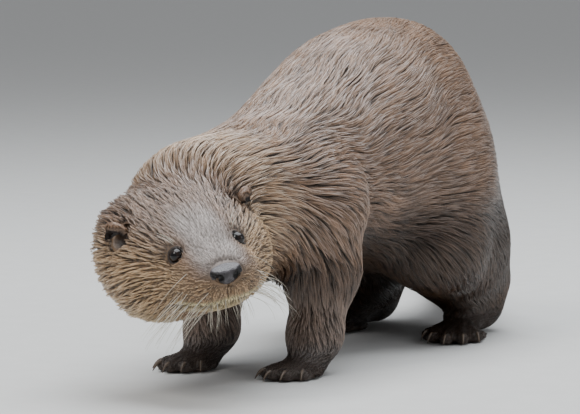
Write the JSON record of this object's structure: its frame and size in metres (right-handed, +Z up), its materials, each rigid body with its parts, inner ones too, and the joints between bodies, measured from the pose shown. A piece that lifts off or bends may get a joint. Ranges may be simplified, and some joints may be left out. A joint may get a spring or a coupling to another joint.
{
  "type": "eurasian otter",
  "caption": "Life-size still model of a Eurasian otter standing with its back arched, its head low and turned to its left and its tail laid on the floor behind.",
  "frame": {"origin": "middle of the footprint of the whole model, on the floor", "axes": "+Z up, the trunk runs along Y and faces -Y, +X is the left side of the animal"},
  "size_m": [0.3157, 0.9446, 0.2756],
  "materials": {
    "body_coat": "dense damp fur, grey-brown on the back and darker below",
    "head_coat": "short damp fur, greyer on the crown, tan cheeks and pale lips",
    "tail_coat": "dense damp dark brown fur",
    "leg_coat": "short damp dark brown fur",
    "paw_coat": "very short fur over webbed skin",
    "ear_coat": "short dark fur with a bare dark inside",
    "nose_skin": "damp pebbled bare skin",
    "eye": "wet gloss",
    "claw": "satin horn"
  },
  "bodies": {
    "root": {"head": "head_coat", "nose": "nose_skin", "eye_left": "eye", "eye_right": "eye", "ear_left": "ear_coat", "ear_right": "ear_coat", "neck": "body_coat", "chest": "body_coat", "belly": "body_coat", "rump": "body_coat", "tail_root": "tail_coat", "tail_middle": "tail_coat", "tail_end": "tail_coat", "foreleg_left": "leg_coat", "forepaw_left": "paw_coat", "foreclaw_left_1": "claw", "foreclaw_left_2": "claw", "foreclaw_left_3": "claw", "foreclaw_left_4": "claw", "foreclaw_left_5": "claw", "hindleg_left": "leg_coat", "hindpaw_left": "paw_coat", "hindclaw_left_1": "claw", "hindclaw_left_2": "claw", "hindclaw_left_3": "claw", "hindclaw_left_4": "claw", "hindclaw_left_5": "claw", "foreleg_right": "leg_coat", "forepaw_right": "paw_coat", "foreclaw_right_1": "claw", "foreclaw_right_2": "claw", "foreclaw_right_3": "claw", "foreclaw_right_4": "claw", "foreclaw_right_5": "claw", "hindleg_right": "leg_coat", "hindpaw_right": "paw_coat", "hindclaw_right_1": "claw", "hindclaw_right_2": "claw", "hindclaw_right_3": "claw", "hindclaw_right_4": "claw", "hindclaw_right_5": "claw"}
  },
  "joints": []
}
